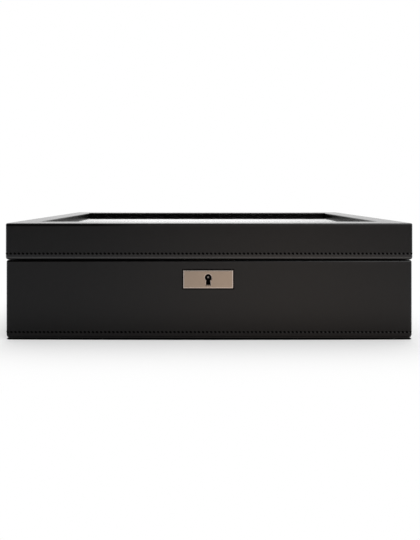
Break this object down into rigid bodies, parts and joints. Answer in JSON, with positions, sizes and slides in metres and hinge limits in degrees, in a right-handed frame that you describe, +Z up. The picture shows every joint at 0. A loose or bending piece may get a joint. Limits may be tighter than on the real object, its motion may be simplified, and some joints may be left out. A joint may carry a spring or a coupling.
{
  "type": "watch box",
  "caption": "Low leather-covered box with a hinged glass-topped lid, a front lock and lined compartments that hold removable watch cushions.",
  "frame": {"origin": "middle of the footprint, at the height of the surface that the box stands on", "axes": "+Z up, the front with the lock faces -Y, +X to the right as seen from the front"},
  "size_m": [0.34, 0.197, 0.0966],
  "materials": {
    "leather": "fine-grained satin black leather",
    "suede": "short-napped suede on card",
    "cushion_suede": "short-napped suede over a soft filling",
    "felt": "pressed felt",
    "board": "raw fibre board",
    "glass": "clear polished",
    "steel": "bright zinc",
    "satin_nickel": "warm satin nickel",
    "brass": "satin"
  },
  "bodies": {
    "case": {"base_felt": "felt", "bottom_board": "board", "case_front_board": "board", "case_right_board": "board", "case_back_board": "board", "case_left_board": "board", "case_leather": "leather", "floor_pad": "suede", "case_lining_front": "suede", "case_lining_right": "suede", "case_lining_back": "suede", "case_lining_left": "suede", "long_divider": "suede", "cross_divider_1": "suede", "cross_divider_2": "suede", "cross_divider_3": "suede", "cross_divider_4": "suede", "case_leaf_left": "steel", "case_leaf_right": "steel", "hinge_pin_left": "steel", "hinge_pin_right": "steel", "case_hinge_screws": "steel", "lock_case": "steel", "lock_cover": "steel", "key_pin": "steel", "detent_spring": "steel", "lock_top_plate": "satin_nickel", "lock_plate_screws": "steel", "escutcheon": "satin_nickel"},
    "lid": {"lid_front_rail": "board", "lid_right_rail": "board", "lid_back_rail": "board", "lid_left_rail": "board", "lid_leather": "leather", "glass": "glass", "glass_retainer": "board", "lid_lining_front": "suede", "lid_lining_right": "suede", "lid_lining_back": "suede", "lid_lining_left": "suede", "rim_lining": "suede", "lid_leaf_left": "steel", "lid_leaf_right": "steel", "lid_hinge_screws": "steel", "strike_plate": "satin_nickel", "strike_screws": "steel"},
    "bolt": {"lock_bolt": "brass"},
    "pillow_front_1": {"cushion_front_1": "cushion_suede"},
    "pillow_front_2": {"cushion_front_2": "cushion_suede"},
    "pillow_front_3": {"cushion_front_3": "cushion_suede"},
    "pillow_front_4": {"cushion_front_4": "cushion_suede"},
    "pillow_front_5": {"cushion_front_5": "cushion_suede"},
    "pillow_rear_1": {"cushion_rear_1": "cushion_suede"},
    "pillow_rear_2": {"cushion_rear_2": "cushion_suede"},
    "pillow_rear_3": {"cushion_rear_3": "cushion_suede"},
    "pillow_rear_4": {"cushion_rear_4": "cushion_suede"},
    "pillow_rear_5": {"cushion_rear_5": "cushion_suede"}
  },
  "joints": [
    {"name": "lid_hinge", "type": "hinge", "parent": "case", "child": "lid", "pos_m": [0, 0.0945, 0.0659], "axis": [-1, 0, 0], "range_deg": [0, 95]},
    {"name": "bolt_slide", "type": "slide", "parent": "case", "child": "bolt", "axis": [1, 0, 0], "range_m": [0, 0.0035]},
    {"name": "lift_front_1", "type": "slide", "parent": "case", "child": "pillow_front_1", "axis": [0, 0, 1], "range_m": [0, 0.0316]},
    {"name": "lift_front_2", "type": "slide", "parent": "case", "child": "pillow_front_2", "axis": [0, 0, 1], "range_m": [0, 0.0316]},
    {"name": "lift_front_3", "type": "slide", "parent": "case", "child": "pillow_front_3", "axis": [0, 0, 1], "range_m": [0, 0.0316]},
    {"name": "lift_front_4", "type": "slide", "parent": "case", "child": "pillow_front_4", "axis": [0, 0, 1], "range_m": [0, 0.0316]},
    {"name": "lift_front_5", "type": "slide", "parent": "case", "child": "pillow_front_5", "axis": [0, 0, 1], "range_m": [0, 0.0316]},
    {"name": "lift_rear_1", "type": "slide", "parent": "case", "child": "pillow_rear_1", "axis": [0, 0, 1], "range_m": [0, 0.0316]},
    {"name": "lift_rear_2", "type": "slide", "parent": "case", "child": "pillow_rear_2", "axis": [0, 0, 1], "range_m": [0, 0.0316]},
    {"name": "lift_rear_3", "type": "slide", "parent": "case", "child": "pillow_rear_3", "axis": [0, 0, 1], "range_m": [0, 0.0316]},
    {"name": "lift_rear_4", "type": "slide", "parent": "case", "child": "pillow_rear_4", "axis": [0, 0, 1], "range_m": [0, 0.0316]},
    {"name": "lift_rear_5", "type": "slide", "parent": "case", "child": "pillow_rear_5", "axis": [0, 0, 1], "range_m": [0, 0.0316]}
  ]
}
